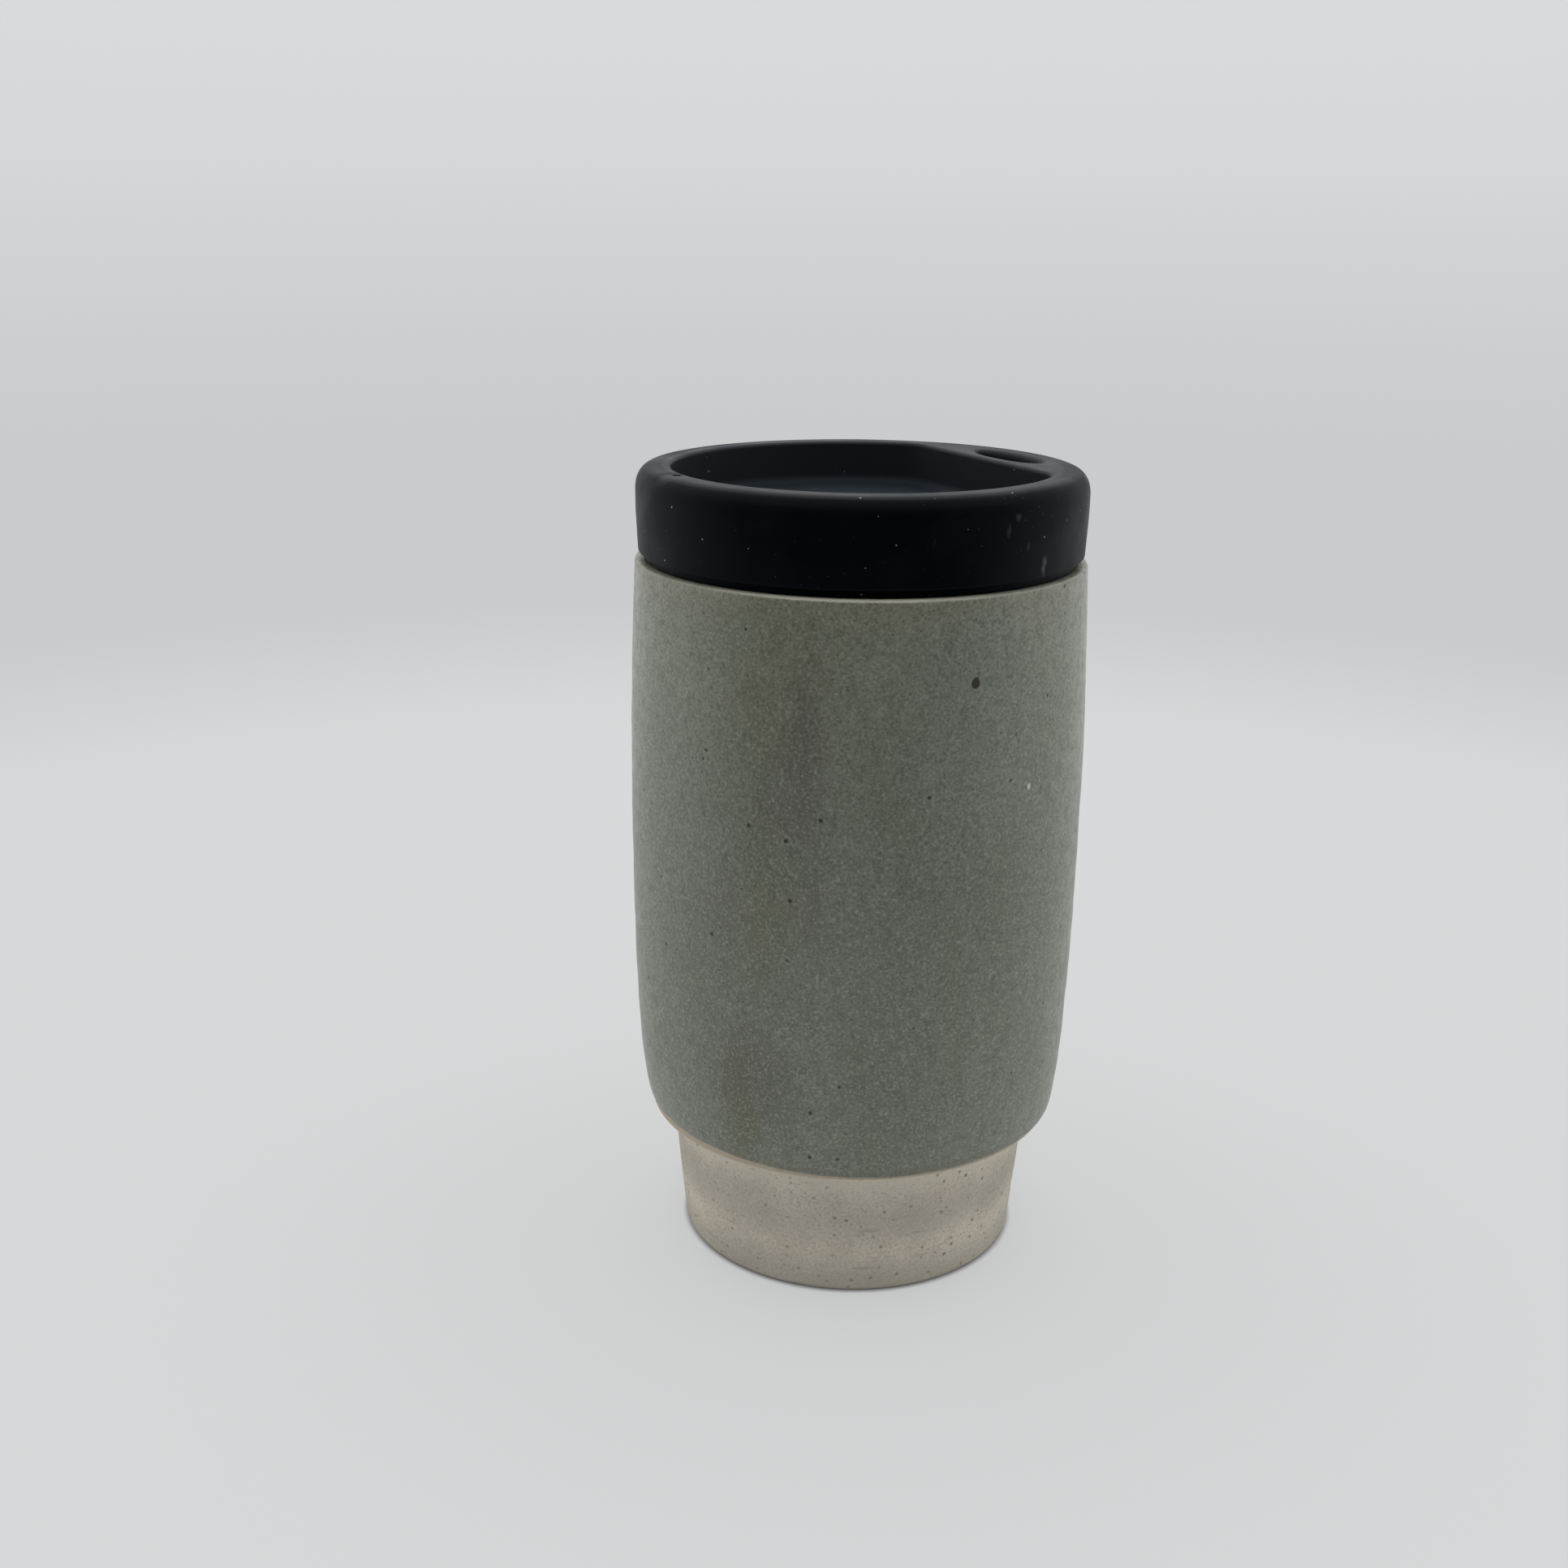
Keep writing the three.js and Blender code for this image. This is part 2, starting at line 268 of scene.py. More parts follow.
def spot(tree, place, centre, across, along, ragged=0.0):
    """A soft mask round a point, across wide and along high, with a ragged edge if asked."""
    moved = add_node(tree, "VectorMath", {"operation": "SUBTRACT"})
    tree.links.new(place, moved.inputs[0])
    moved.inputs[1].default_value = centre
    scaled = add_node(tree, "VectorMath", {"operation": "MULTIPLY"})
    tree.links.new(moved.outputs["Vector"], scaled.inputs[0])
    scaled.inputs[1].default_value = (2 / across, 2 / across, 2 / along)
    far = add_node(tree, "VectorMath", {"operation": "LENGTH"})
    tree.links.new(scaled.outputs["Vector"], far.inputs[0])
    reach = far.outputs["Value"]
    if ragged:
        long_wise = squeezed(tree, place, 1.0, max(1.0, 0.7 * along / across))
        frayed = sum_of(tree, "SUBTRACT", cloud(tree, long_wise, across / 3, 3.0), 0.5)
        reach = sum_of(tree, "MULTIPLY_ADD", frayed, ragged, reach)
    return fade(tree, reach, 1.15, 0.15)


def specks(tree, place, spacing, radius, share, softness=0.25):
    """A mask of round specks up to radius, one in each cell of spacing for that share of cells."""
    cell = add_node(tree, "TexVoronoi", Vector=place, Scale=1 / spacing, Randomness=1.0)
    luck = add_node(tree, "SeparateColor", Color=cell.outputs["Color"]).outputs["Red"]
    size = fade(tree, luck, 1 - share, 1.0, 0.0, radius / spacing)
    inner = sum_of(tree, "MULTIPLY", size, 1 - softness)
    outer = sum_of(tree, "MULTIPLY_ADD", size, 1 + softness, 1e-5)
    near = sum_of(tree, "SUBTRACT", outer, cell.outputs["Distance"])
    band = sum_of(tree, "SUBTRACT", outer, inner)
    share_of_band = sum_of(tree, "DIVIDE", near, band)
    return sum_of(tree, "MAXIMUM", sum_of(tree, "MINIMUM", share_of_band, 1.0), 0.0)


def new_material(name, roughness, ior):
    material = bpy.data.materials.new(name)
    material.use_nodes = True
    tree = material.node_tree
    tree.nodes.clear()
    output = tree.nodes.new("ShaderNodeOutputMaterial")
    shader = add_node(tree, "BsdfPrincipled", Roughness=roughness, IOR=ior)
    tree.links.new(shader.outputs["BSDF"], output.inputs["Surface"])
    place = tree.nodes.new("ShaderNodeTexCoord").outputs["Object"]
    height = add_node(tree, "SeparateXYZ", Vector=place).outputs["Z"]
    return material, tree, shader, place, height


def raise_surface(tree, shader, relief):
    """Joins the layers of relief, each a mask and a height in metres, into the shader's bump."""
    total = 0.0
    for mask, amount in relief:
        total = sum_of(tree, "MULTIPLY_ADD", mask, amount, total)
    bump = add_node(tree, "Bump", Height=total, Distance=1.0, Strength=1.0)
    tree.links.new(bump.outputs["Normal"], shader.inputs["Normal"])


def bare_clay():
    """Buff stoneware: sandy grain, iron specks, drag marks from turning, a warm flash by the glaze."""
    material, tree, shader, place, height = new_material("bare_clay", 0.9, 1.45)
    patches = cloud(tree, place, 0.013, 3.0)
    blush = fade(tree, cloud(tree, squeezed(tree, place, 1.0, 0.6, (0.3, 0.1, 0)), 0.02), 0.45, 0.7)
    sand = cloud(tree, place, 0.0006, 4.0, 0.7)
    rings = cloud(tree, squeezed(tree, place, 7.0, 1.0), 0.0010, 3.0, 0.6)
    freckles = specks(tree, place, 0.0018, 0.00034, 0.95, 0.6)
    pepper = specks(tree, place, 0.0009, 0.00016, 0.9, 0.6)
    drags = specks(tree, squeezed(tree, place, 5.0, 0.8, (0.2, 0, 0)), 0.0021, 0.0004, 0.6, 0.7)
    colour = tint(tree, fade(tree, patches, 0.3, 0.7), (0.575, 0.528, 0.435), (0.71, 0.65, 0.54))
    colour = tint(tree, sum_of(tree, "MULTIPLY", blush, 0.18), colour, (0.66, 0.575, 0.455))
    colour = tint(tree, fade(tree, sand, 0.45, 0.70, 0.0, 0.6), colour, (0.36, 0.33, 0.27))
    colour = tint(tree, fade(tree, sand, 0.46, 0.30, 0.0, 0.45), colour, (0.86, 0.82, 0.72))
    colour = tint(tree, fade(tree, rings, 0.56, 0.80, 0.0, 0.45), colour, (0.36, 0.33, 0.275))
    colour = tint(tree, sum_of(tree, "MULTIPLY", drags, 0.55), colour, (0.24, 0.215, 0.18))
    level = sum_of(tree, "MULTIPLY_ADD", patches, 0.0012, height)
    off_band = sum_of(tree, "ABSOLUTE", sum_of(tree, "SUBTRACT", level, 0.0172))
    band = fade(tree, off_band, 0.0075, 0.0005, 0.0, 0.36)
    colour = tint(tree, band, colour, (0.37, 0.34, 0.285))
    top_edge = fade(tree, height, 0.0215, 0.0265, 0.0, 0.6)
    colour = tint(tree, top_edge, colour, (0.86, 0.81, 0.69))
    bottom_edge = fade(tree, height, 0.0105, 0.0010, 0.0, 0.55)
    colour = tint(tree, bottom_edge, colour, (0.36, 0.33, 0.27))
    colour = tint(tree, sum_of(tree, "MULTIPLY", pepper, 0.5), colour, (0.20, 0.17, 0.14))
    rusty = sum_of(tree, "MULTIPLY", freckles, fade(tree, patches, 0.35, 0.65, 0.45, 0.85))
    colour = tint(tree, rusty, colour, (0.105, 0.080, 0.062))
    flash = sum_of(
        tree, "MULTIPLY",
        fade(tree, height, FOOT_HEIGHT, FOOT_HEIGHT + 0.0004),
        fade(tree, height, FOOT_HEIGHT + 0.004, FOOT_HEIGHT + 0.002),
    )
    colour = tint(tree, sum_of(tree, "MULTIPLY", flash, 0.8), colour, (0.50, 0.41, 0.29))
    tree.links.new(colour, shader.inputs["Base Color"])
    tree.links.new(fade(tree, sand, 0.3, 0.7, 0.82, 0.95), shader.inputs["Roughness"])
    raise_surface(tree, shader, (
        (sand, 0.00010), (rings, 0.00007), (freckles, -0.00006), (pepper, -0.00004),
    ))
    return material


clay = turned(clay_outline())
by_hand(clay)
cup_clay = make_piece("cup_clay", clay, bare_clay())
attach(cup_clay, "cup")
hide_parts("stoneware_body")


# ---------------------------------------------------------------------------------------------
# The outer glaze. A satin grey-green coat poured over the outside and wiped back at the foot, so
# its lower edge wanders a little. It runs in olive streaks and breaks pale over the rim, and a
# highlight is painted along the rim on the side facing the camera.
# ---------------------------------------------------------------------------------------------

GLAZE_BEAD = 0.0005          # height of the rounded lower edge
EDGE_LIFT = 0.0009           # how much higher the edge is where it was wiped back most
EDGE_DROP = 0.00030          # how far below the true line the whole edge sits
EDGE_QUIVER = 0.00012        # small unevenness of the edge
WIPED_ANGLE = 155            # the side on which it was wiped back most
RIM_HIGHLIGHT_ANGLE = -119        # the side facing the camera, where the rim has a painted highlight
BARREL_MIDDLE = coat_high.x

# Runs and clouds in the glaze: angle, height, width, length, strength and colour of each.
GLAZE_RUNS = (
    (-88, 0.122, 0.038, 0.054, 0.60, (0.216, 0.262, 0.234)),
    (-146, 0.139, 0.008, 0.012, 0.50, (0.220, 0.262, 0.220)),
    (-138, 0.134, 0.026, 0.046, 0.65, (0.225, 0.224, 0.144)),
    (-142, 0.122, 0.012, 0.026, 0.45, (0.196, 0.198, 0.122)),
    (-131, 0.119, 0.0100, 0.046, 0.70, (0.150, 0.150, 0.126)),
    (-136, 0.108, 0.020, 0.022, 0.45, (0.160, 0.158, 0.136)),
    (-139.5, 0.088, 0.019, 0.042, 0.62, (0.182, 0.186, 0.114)),
    (-151, 0.086, 0.008, 0.028, 0.50, (0.162, 0.160, 0.136)),
    (-128, 0.089, 0.008, 0.030, 0.50, (0.158, 0.158, 0.132)),
    (-143, 0.051, 0.026, 0.034, 0.66, (0.146, 0.146, 0.124)),
    (-138, 0.050, 0.011, 0.020, 0.40, (0.146, 0.144, 0.126)),
    (-147, 0.041, 0.0125, 0.042, 0.85, (0.142, 0.146, 0.080)),
    (-108, 0.049, 0.024, 0.024, 0.35, (0.176, 0.178, 0.154)),
    (20, 0.110, 0.020, 0.074, 0.75, (0.190, 0.190, 0.112)),
    (32, 0.072, 0.010, 0.054, 0.60, (0.148, 0.147, 0.122)),
    (95, 0.095, 0.017, 0.066, 0.75, (0.190, 0.188, 0.112)),
    (130, 0.060, 0.034, 0.054, 0.60, (0.196, 0.238, 0.200)),
    (62, 0.048, 0.012, 0.036, 0.75, (0.144, 0.140, 0.084)),
)


def outer_coat_outline():
    outside = [point for point in outer_skin(0) if point[1] > GLAZE_LINE + GLAZE_BEAD]
    inside = outer_skin(GLAZE)
    bead = bend(inside[0], (GLAZE_EDGE_RADIUS, GLAZE_LINE), outside[0], 6)
    return inside[:1] + bead + outside[1:] + inside[::-1]


def wander(bm):
    """Brings the coat's lower edge down to the clay's corner, but leaves it higher on one side."""
    turn = math.radians(WIPED_ANGLE)
    wiped_side = Vector((math.cos(turn), math.sin(turn), 0))
    for vert in bm.verts:
        x, y, z = vert.co
        near_edge = 1 - soft_step(z, GLAZE_LINE + 0.0006, GLAZE_LINE + 0.006)
        around = Vector((x, y, 0)).normalized()
        wiped = soft_step(around.dot(wiped_side), -0.1, 0.9)
        quick = noise.noise(around * 9 + Vector((5, 0, 1)))
        vert.co.z += near_edge * (EDGE_LIFT * wiped - EDGE_DROP + EDGE_QUIVER * quick)


def at(angle, height, radius=BARREL_MIDDLE):
    """A point on the barrel, by its angle from the sip hole's side and its height."""
    turn = math.radians(angle)
    return Vector((radius * math.cos(turn), radius * math.sin(turn), height))


def satin_glaze():
    """Grey-green satin glaze: fine mottle, olive and plum runs, a cooler side, iron spots, and a pale
    rim with a painted highlight on the side facing the camera.
    """
    material, tree, shader, place, height = new_material("satin_glaze", 0.36, 1.5)
    grain = cloud(tree, place, 0.0006, 3.0, 0.7)
    mottle = cloud(tree, place, 0.0022, 3.0, 0.6)
    drift = cloud(tree, squeezed(tree, place, 1.0, 1.8), 0.020, 3.0)
    runs = cloud(tree, squeezed(tree, place, 1.0, 9.0, (0.02, 0.05, 0.0)), 0.008, 3.0, 0.6)
    rings = cloud(tree, squeezed(tree, place, 40.0, 1.0), 0.0018, 3.0, 0.6)
    colour = tint(tree, fade(tree, drift, 0.3, 0.7), (0.190, 0.208, 0.158), (0.219, 0.236, 0.187))
    olive = sum_of(tree, "MULTIPLY", fade(tree, runs, 0.5, 0.72), 0.35)
    colour = tint(tree, olive, colour, (0.176, 0.186, 0.120))
    higher = fade(tree, height, 0.085, RIM_TOP, 0.0, 0.75)
    colour = tint(tree, higher, colour, (1.38, 1.35, 1.30), "MULTIPLY")
    under_rim = sum_of(tree, "MULTIPLY_ADD", drift, 0.010, height)
    tan = fade(tree, under_rim, RIM_TOP - 0.004, RIM_TOP + 0.004, 0.0, 0.6)
    colour = tint(tree, tan, colour, (0.290, 0.278, 0.205))
    for angle, middle, across, along, depth, shade in GLAZE_RUNS:
        blot = spot(tree, place, at(angle, middle), across, along, 1.1)
        colour = tint(tree, sum_of(tree, "MULTIPLY", blot, depth), colour, shade)
    colour = tint(tree, fade(tree, mottle, 0.4, 0.7, 0.0, 0.42), colour, (0.136, 0.147, 0.106))
    colour = tint(tree, fade(tree, grain, 0.5, 0.70, 0.0, 0.75), colour, (0.375, 0.398, 0.330))
    colour = tint(tree, fade(tree, grain, 0.5, 0.32, 0.0, 0.65), colour, (0.090, 0.100, 0.072))
    thin = sum_of(tree, "MULTIPLY_ADD", mottle, 0.0004, height)
    # Painted highlight: a pale band on the rim, strongest on the side facing the camera; elsewhere the
    # pale band is the real break of thin glaze.
    painted_rim_highlight = spot(tree, place, at(RIM_HIGHLIGHT_ANGLE, RIM_TOP, RIM_RADIUS), 0.070, 0.070)
    elsewhere = fade(tree, drift, 0.45, 0.65, 0.0, 0.35)
    breaking_and_rim_highlight = sum_of(
        tree, "MULTIPLY", fade(tree, thin, RIM_TOP - 0.00025, RIM_TOP + 0.00010),
        sum_of(tree, "MAXIMUM", painted_rim_highlight, elsewhere),
    )
    colour = tint(tree, sum_of(tree, "MULTIPLY", breaking_and_rim_highlight, 0.85), colour, (0.66, 0.64, 0.54))
    wiped = fade(tree, thin, GLAZE_LINE + 0.0022, GLAZE_LINE + 0.0010)
    colour = tint(tree, sum_of(tree, "MULTIPLY", wiped, 0.3), colour, (0.12, 0.105, 0.07))
    iron = specks(tree, place, 0.0046, 0.00042, 0.8, 0.35)
    dots = specks(tree, place, 0.0028, 0.00015, 0.5, 0.4)
    stain = fade(tree, spot(tree, place, at(-91, 0.1308), 0.0028, 0.0034, 0.25), 0.18, 0.42)
    small_marks = sum_of(tree, "MAXIMUM", iron, sum_of(tree, "MULTIPLY", dots, 0.6))
    marks = sum_of(tree, "MAXIMUM", small_marks, stain)
    colour = tint(tree, sum_of(tree, "MULTIPLY", marks, 0.9), colour, (0.018, 0.016, 0.012))
    bubble = fade(tree, spot(tree, place, at(-73.8, 0.1089), 0.0016, 0.0019), 0.35, 0.6)
    colour = tint(tree, bubble, colour, (0.62, 0.62, 0.58))
    tree.links.new(colour, shader.inputs["Base Color"])
    satin = fade(tree, mottle, 0.3, 0.7, 0.29, 0.41)
    tree.links.new(satin, shader.inputs["Roughness"])
    raise_surface(tree, shader, (
        (grain, 0.00003), (mottle, 0.00005), (rings, 0.00005), (marks, -0.00006),
        (drift, 0.00020),
    ))
    return material


glaze = satin_glaze()
coat = turned(outer_coat_outline())
by_hand(coat)
wander(coat)
outer_coat = make_piece("outer_coat", coat, glaze)
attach(outer_coat, "cup")
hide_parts("outer_glaze")


# ---------------------------------------------------------------------------------------------
# The liner glaze. A thinner pour of the same glaze that coats the inside, runs to the middle of
# the rim, and pools a little darker on the floor of the cup. It is fused to the clay.
# ---------------------------------------------------------------------------------------------


def liner():
    """The liner: smooth, a little glossier, with throwing rings showing through."""
    material, tree, shader, place, height = new_material("liner", 0.32, 1.5)
    grain = cloud(tree, place, 0.0008, 3.0, 0.65)
    drift = cloud(tree, squeezed(tree, place, 1.0, 1.6), 0.018, 3.0)
    rings = cloud(tree, squeezed(tree, place, 30.0, 1.0), 0.0045, 2.0)
    colour = tint(tree, fade(tree, drift, 0.3, 0.7), (0.185, 0.195, 0.158), (0.225, 0.230, 0.190))
    colour = tint(tree, fade(tree, grain, 0.45, 0.75, 0.0, 0.4), colour, (0.29, 0.295, 0.25))
    pool = fade(tree, height, 0.016, 0.0105)
    colour = tint(tree, sum_of(tree, "MULTIPLY", pool, 0.5), colour, (0.105, 0.125, 0.105))
    dots = specks(tree, place, 0.0050, 0.00030, 0.6, 0.35)
    colour = tint(tree, sum_of(tree, "MULTIPLY", dots, 0.85), colour, (0.02, 0.018, 0.014))
    tree.links.new(colour, shader.inputs["Base Color"])
    tree.links.new(fade(tree, grain, 0.3, 0.7, 0.28, 0.38), shader.inputs["Roughness"])
    raise_surface(tree, shader, ((grain, 0.00002), (rings, 0.00018), (dots, -0.00004)))
    return material


lining = turned(inner_skin(GLAZE)[::-1] + inner_skin(0))
by_hand(lining)
liner_coat = make_piece("liner_coat", lining, liner())
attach(liner_coat, "cup")
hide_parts("liner_glaze")


# ---------------------------------------------------------------------------------------------
# The lid. One moulding of matte black silicone: a plug with two sealing ribs that presses into
# the mouth, a skirt that stands just clear of the rim, and a sunken dish with a sip ledge.
# ---------------------------------------------------------------------------------------------

lid_low, lid_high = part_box("lid")
LID_RADIUS = lid_high.x
LID_TOP = lid_high.z
PLUG_BOTTOM = lid_low.z
SKIRT_BOTTOM = RIM_TOP + 0.0016
SPACER_RADIUS = 0.0434
PLUG_RADIUS = 0.0404
RIB_RADIUS = 0.0409
PLUG_INNER_RADIUS = 0.0378
DISH_RADIUS = 0.038
DISH_FLOOR = LID_TOP - 0.009
LID_WALL = 0.0025
CREST_RADIUS = 0.0416
LEDGE_OFFSET = 0.028
LEDGE_CORNER = 0.008
LEDGE_THICKNESS = 0.0028
SIP_OFFSET = 0.0345
SIP_LENGTH = 0.0220
SIP_WIDTH = 0.0070
DISH_LIP = 0.0008
SIP_LIP = 0.0012
CORNER_CUTS = 20            # flats that make up each rounded corner of the dish
VENT_OFFSET = 0.040
VENT_RADIUS = 0.001
POCKET_SIZE = (0.0077, 0.003, 0.003)
POCKET_SHIFT = 0.0023       # how far the pocket's middle lies inwards of the vent
VENT_DEPTH = 0.0025         # from the dish's underside down to the pocket's middle


def lid_outline():
    """Half the lid's section, from under the dish round to the edge of the flat crest."""
    underside = DISH_FLOOR - LID_WALL
    inner = PLUG_INNER_RADIUS
    outline = [(0, underside)]
    outline += run(outline[-1], (inner - 0.002, underside), 6)
    outline += bend(outline[-1], (inner, underside), (inner, underside - 0.002), 6)
    outline += run(outline[-1], (inner, PLUG_BOTTOM + 0.0006), 3)
    outline += bend(outline[-1], (inner, PLUG_BOTTOM), (inner + 0.0006, PLUG_BOTTOM), 4)
    outline += [(PLUG_RADIUS - 0.0008, PLUG_BOTTOM)]
    outline += bend(outline[-1], (PLUG_RADIUS, PLUG_BOTTOM), (PLUG_RADIUS, PLUG_BOTTOM + 0.001), 4)
    for rib in (PLUG_BOTTOM + 0.003, PLUG_BOTTOM + 0.007):
        outline += [(PLUG_RADIUS, rib - 0.0009)]
        outline += bend(outline[-1], (RIB_RADIUS, rib - 0.0007), (RIB_RADIUS, rib), 4)
        outline += bend(outline[-1], (RIB_RADIUS, rib + 0.0007), (PLUG_RADIUS, rib + 0.0009), 4)
    outline += [(PLUG_RADIUS, RIM_TOP), (SPACER_RADIUS - 0.0003, RIM_TOP)]
    outline += bend(outline[-1], (SPACER_RADIUS, RIM_TOP), (SPACER_RADIUS, RIM_TOP + 0.0003), 3)
    outline += run(outline[-1], (SPACER_RADIUS, SKIRT_BOTTOM), 2)
    edge = (LID_RADIUS - 0.0008, SKIRT_BOTTOM)
    side = (LID_RADIUS - 0.0004, SKIRT_BOTTOM + 0.0004)
    outline += [edge]
    outline += bend(edge, (side[0], SKIRT_BOTTOM), side, 6)
    outline += run(side, (LID_RADIUS - 0.00005, SKIRT_BOTTOM + 0.0075), 6)
    shoulder = (LID_RADIUS, LID_TOP - 0.0046)
    turn = (LID_RADIUS - 0.0009, LID_TOP - 0.0013)
    outline += bend(outline[-1], (LID_RADIUS, SKIRT_BOTTOM + 0.009), shoulder, 4)
    outline += bend(shoulder, (LID_RADIUS - 0.00002, LID_TOP - 0.0024), turn, 7)
    outline += bend(outline[-1], (LID_RADIUS - 0.0018, LID_TOP), (CREST_RADIUS, LID_TOP), 8)
    return outline


def cutter(outline, bottom, top):
    """A flat outline, an n-gon at height 0, extruded from bottom to top."""
    bmesh.ops.translate(outline, verts=outline.verts, vec=(0, 0, top))
    raised = bmesh.ops.extrude_face_region(outline, geom=outline.faces[:])["geom"]
    lowered = [part for part in raised if isinstance(part, bmesh.types.BMVert)]
    bmesh.ops.translate(outline, verts=lowered, vec=(0, 0, bottom - top))
    bmesh.ops.recalc_face_normals(outline, faces=outline.faces)
    return outline


def disc(radius, segments):
    bm = bmesh.new()
    bmesh.ops.create_circle(bm, cap_ends=True, segments=segments, radius=radius)
    return bm


def keep_side(bm, offset, outside):
    """Cuts a flat outline along a chord and keeps one side of it."""
    bmesh.ops.bisect_plane(
        bm, geom=bm.verts[:] + bm.edges[:] + bm.faces[:], plane_co=(offset, 0, 0),
        plane_no=(1, 0, 0), clear_inner=outside, clear_outer=not outside,
    )


def on_plane(edge, height):
    return all(abs(vert.co.z - height) < 1e-6 for vert in edge.verts)


def round_edges(bm, edges, width, segments):
    bmesh.ops.bevel(
        bm, geom=edges, offset=width, offset_type="OFFSET", affect="EDGES", segments=segments,
        profile=0.5, material=-1, clamp_overlap=False,
    )


def dish_cutter():
    """The dish: a disc shaved along the ledge and round its two corners, with a rounded floor."""
    bm = disc(DISH_RADIUS, 192)
    middle_x = LEDGE_OFFSET - LEDGE_CORNER
    middle_y = math.sqrt((DISH_RADIUS - LEDGE_CORNER) ** 2 - middle_x ** 2)
    sweep = math.atan2(middle_y, middle_x)
    for side in (-1, 1):
        for i in range(CORNER_CUTS + 1):
            turn = sweep * i / CORNER_CUTS
            away = Vector((math.cos(turn), side * math.sin(turn), 0))
            bmesh.ops.bisect_plane(
                bm, geom=bm.verts[:] + bm.edges[:] + bm.faces[:], plane_no=away, clear_outer=True,
                plane_co=Vector((middle_x, side * middle_y, 0)) + away * LEDGE_CORNER,
            )
    bmesh.ops.remove_doubles(bm, verts=bm.verts, dist=1e-5)
    cutter(bm, DISH_FLOOR, LID_TOP + 0.004)
    round_edges(bm, [edge for edge in bm.edges if on_plane(edge, DISH_FLOOR)], 0.002, 7)
    return bm


def hollow_cutter():
    """The space under the ledge, which keeps the moulding's wall even."""
    bm = disc(PLUG_INNER_RADIUS - 0.0001, 160)
    keep_side(bm, LEDGE_OFFSET + LID_WALL, outside=True)
    return cutter(bm, DISH_FLOOR - LID_WALL - 0.001, LID_TOP - LEDGE_THICKNESS)


def sip_cutter():
    """The oval sip hole, which narrows a little towards the drink."""
    bm = disc(1.0, 96)
    bmesh.ops.scale(bm, verts=bm.verts, vec=(SIP_WIDTH / 2, SIP_LENGTH / 2, 1))
    bmesh.ops.translate(bm, verts=bm.verts, vec=(SIP_OFFSET, 0, 0))
    return cutter(bm, DISH_FLOOR, LID_TOP + 0.004)


def vent_cutter():
    bm = disc(VENT_RADIUS, 32)
    bmesh.ops.translate(bm, verts=bm.verts, vec=(-VENT_OFFSET, 0, 0))
    return cutter(bm, DISH_FLOOR - LID_WALL - VENT_DEPTH, LID_TOP + 0.004)


def pocket_cutter():
    """Where the vent opens to the cup, under the dish."""
    bm = bmesh.new()
    bmesh.ops.create_cube(bm, size=1.0)
    bmesh.ops.scale(bm, verts=bm.verts, vec=POCKET_SIZE)
    middle = (-VENT_OFFSET + POCKET_SHIFT, 0, DISH_FLOOR - LID_WALL - VENT_DEPTH)
    bmesh.ops.translate(bm, verts=bm.verts, vec=middle)
    return bm


def cut_out(solid, cutters):
    """The solid less every cutter, as a new bmesh."""
    made = []
    for bm in [solid] + cutters:
        mesh = bpy.data.meshes.new("cutting")
        bm.to_mesh(mesh)
        bm.free()
        made.append(bpy.data.objects.new("cutting", mesh))
        bpy.context.scene.collection.objects.link(made[-1])
    for tool in made[1:]:
        cut = made[0].modifiers.new("cut", "BOOLEAN")
        cut.operation = "DIFFERENCE"
        cut.solver = "EXACT"
        cut.object = tool
    bpy.context.view_layer.update()
    whole = made[0].evaluated_get(bpy.context.evaluated_depsgraph_get())
    result = bmesh.new()
    result.from_mesh(whole.to_mesh())
    for thing in made:
        mesh = thing.data
        bpy.data.objects.remove(thing)
        bpy.data.meshes.remove(mesh)
    bmesh.ops.remove_doubles(result, verts=result.verts, dist=1e-7)
    return result


def lip_edges(bm, inside):
    """The sharp edges on the lid's flat crest whose ends are inside a region."""
    return [
        edge for edge in bm.edges
        if on_plane(edge, LID_TOP) and len(edge.link_faces) == 2
        and edge.calc_face_angle() > math.radians(50)
        and all(inside(vert.co) for vert in edge.verts)
    ]


def in_sip(point):
    reach = Vector(((point.x - SIP_OFFSET) / SIP_WIDTH, point.y / SIP_LENGTH)).length
    return reach < 0.55


def in_dish(point):
    return point.x < LEDGE_OFFSET + 1e-4 and Vector((point.x, point.y)).length < DISH_RADIUS + 1e-4


def make_lid():
    blank = turned(lid_outline())
    crest = [edge for edge in blank.edges if edge.is_boundary]
    bmesh.ops.holes_fill(blank, edges=crest, sides=0)
    bmesh.ops.recalc_face_normals(blank, faces=blank.faces)
    cutters = [dish_cutter(), hollow_cutter(), sip_cutter(), vent_cutter(), pocket_cutter()]
    bm = cut_out(blank, cutters)
    round_edges(bm, lip_edges(bm, in_dish), DISH_LIP, 7)
    round_edges(bm, lip_edges(bm, in_sip), SIP_LIP, 6)
    return bm


def near_axis(tree, place):
    """Distance from the axis."""
    flat = add_node(tree, "VectorMath", {"operation": "MULTIPLY"})
    tree.links.new(place, flat.inputs[0])
    flat.inputs[1].default_value = (1, 1, 0)
    away = add_node(tree, "VectorMath", {"operation": "LENGTH"})
    tree.links.new(flat.outputs["Vector"], away.inputs[0])
    return away.outputs["Value"]


